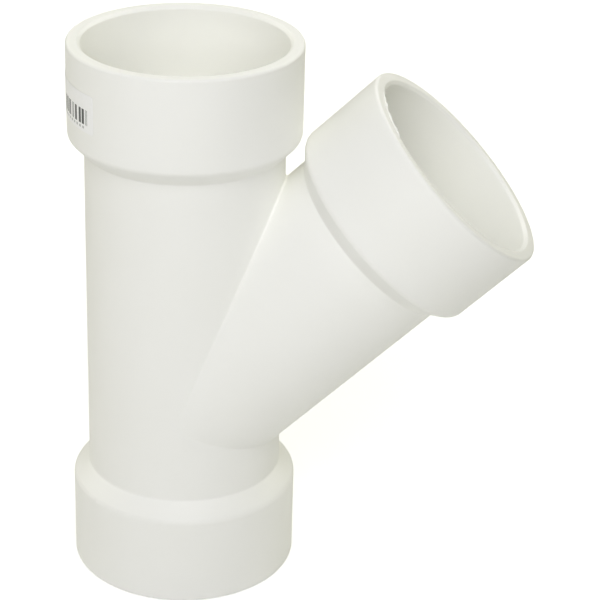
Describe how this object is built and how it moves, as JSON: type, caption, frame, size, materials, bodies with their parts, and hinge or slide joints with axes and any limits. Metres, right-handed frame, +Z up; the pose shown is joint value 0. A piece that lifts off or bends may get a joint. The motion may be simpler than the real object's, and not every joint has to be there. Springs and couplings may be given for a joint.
{
  "type": "pvc wye fitting",
  "caption": "White moulded PVC drainage wye: a straight run with a socket hub at each end, and an equal branch that leaves it at 45 degrees to a hub of its own.",
  "frame": {"origin": "centre of the bottom rim, on the run's axis", "axes": "+Z up the run to the top hub, +X to the side that the branch leans towards, +Y away from a viewer who has the branch on the right"},
  "size_m": [0.2037, 0.1016, 0.2493],
  "materials": {
    "pvc": "satin gloss, injection-moulded white PVC",
    "label_film": "smooth coated label with black print"
  },
  "bodies": {
    "root": {"wye_body": "pvc", "barcode_label": "label_film"}
  },
  "joints": []
}
